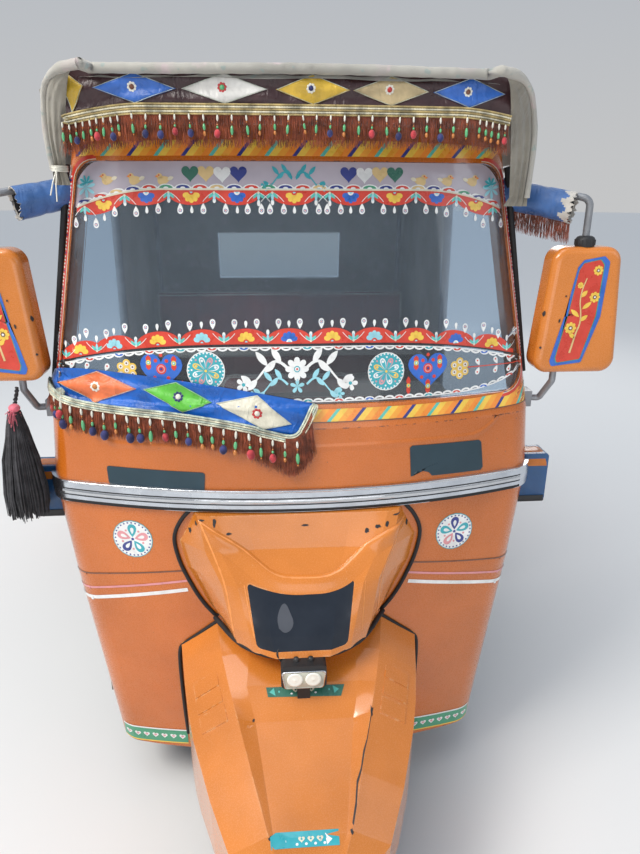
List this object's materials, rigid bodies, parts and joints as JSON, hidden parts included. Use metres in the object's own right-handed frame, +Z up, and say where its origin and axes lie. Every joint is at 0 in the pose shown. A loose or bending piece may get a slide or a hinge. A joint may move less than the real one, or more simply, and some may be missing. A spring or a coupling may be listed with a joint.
{
  "type": "auto rickshaw",
  "caption": "Three-wheeled auto rickshaw with a curved front, faceted nose, canvas hood, open sides, handlebar steering and a decorated front.",
  "frame": {"origin": "on the floor under the middle of the whole vehicle", "axes": "+Z up, the front faces -Y, +X is the vehicle's own left"},
  "size_m": [1.5242, 2.76, 1.818],
  "materials": {
    "body_paint": "glossy orange enamel, chipped at edges",
    "nose_paint": "orange moulded plastic",
    "lining": "beige inner paint",
    "glass": "clear laminated glass",
    "trim_metal": "polished strip with black lines",
    "dark_lens": "smoked lamp cover",
    "lamp_lens": "moulded lamp lens",
    "signal_blue": "blue moulded lamp body",
    "tail_red": "red moulded lamp lens",
    "black_steel": "satin black paint on steel",
    "black_plastic": "grained black plastic",
    "wheel_paint": "silver wheel paint",
    "tyre_rubber": "road tyre",
    "grip_rubber": "ribbed grip",
    "floor_paint": "worn dark floor paint",
    "cast_metal": "dull cast metal",
    "exhaust_steel": "heat-stained steel",
    "hood_cloth": "faded canvas with a floral print",
    "frame_steel": "grey painted tube",
    "satin_dark": "dark satin with diamonds and fringe",
    "satin_blue": "blue satin with diamonds and fringe",
    "sleeve_cloth": "blue cloth sleeve",
    "yarn": "black yarn",
    "seat_vinyl": "padded vinyl",
    "mirror_paint": "orange housing with painted panel",
    "mirror_face": "silvered glass"
  },
  "bodies": {
    "body": {"front_panel": "body_paint", "windscreen_frame": "body_paint", "windscreen": "glass", "waist_trim": "trim_metal", "head_cowl": "nose_paint", "headlamp": "dark_lens", "nose_cowl": "nose_paint", "fog_lamp": "lamp_lens", "wheel_liner": "black_steel", "steering_head": "black_steel", "floor_pan": "floor_paint", "chassis": "black_steel", "body_sides": "body_paint", "rear_panel": "body_paint", "rear_deck": "lining", "bulkhead": "lining", "seat_box": "lining", "driver_cushion": "seat_vinyl", "driver_back": "seat_vinyl", "bench_cushion": "seat_vinyl", "bench_back": "seat_vinyl", "dashboard": "black_plastic", "brake_pedal": "black_steel", "engine": "cast_metal", "exhaust": "exhaust_steel", "rear_arms": "black_steel", "rear_springs": "black_steel", "rear_bumper": "frame_steel", "tail_lamps": "tail_red", "side_lamps": "signal_blue", "mirror_housings": "mirror_paint", "mirror_glasses": "mirror_face", "mirror_arms": "frame_steel", "arm_sleeves": "sleeve_cloth", "tassel": "yarn", "hood": "hood_cloth", "hood_curtain": "hood_cloth", "hood_frame": "frame_steel", "front_valance": "satin_dark", "lower_valance": "satin_blue"},
    "steering": {"fork": "black_steel", "front_damper": "black_steel", "handlebar": "black_steel", "grips": "grip_rubber"},
    "front_roller": {"front_tyre": "tyre_rubber", "front_wheel": "wheel_paint"},
    "rear_left_roller": {"rear_left_tyre": "tyre_rubber", "rear_left_wheel": "wheel_paint"},
    "rear_right_roller": {"rear_right_tyre": "tyre_rubber", "rear_right_wheel": "wheel_paint"},
    "lid": {"engine_lid": "body_paint"}
  },
  "joints": [
    {"name": "steer", "type": "hinge", "parent": "body", "child": "steering", "pos_m": [0, -1.02, 0.207], "axis": [0, 0.3746, 0.9272], "range_deg": [-40, 40]},
    {"name": "front_spin", "type": "hinge", "parent": "steering", "child": "front_roller", "pos_m": [0, -1.065, 0.207], "axis": [1, 0, 0], "continuous": true},
    {"name": "rear_left_spin", "type": "hinge", "parent": "body", "child": "rear_left_roller", "pos_m": [0.57, 0.925, 0.207], "axis": [1, 0, 0], "continuous": true},
    {"name": "rear_right_spin", "type": "hinge", "parent": "body", "child": "rear_right_roller", "pos_m": [-0.57, 0.925, 0.207], "axis": [1, 0, 0], "continuous": true},
    {"name": "lid_hinge", "type": "hinge", "parent": "body", "child": "lid", "pos_m": [0, 1.361, 0.712], "axis": [1, 0, 0], "range_deg": [0, 75]}
  ]
}
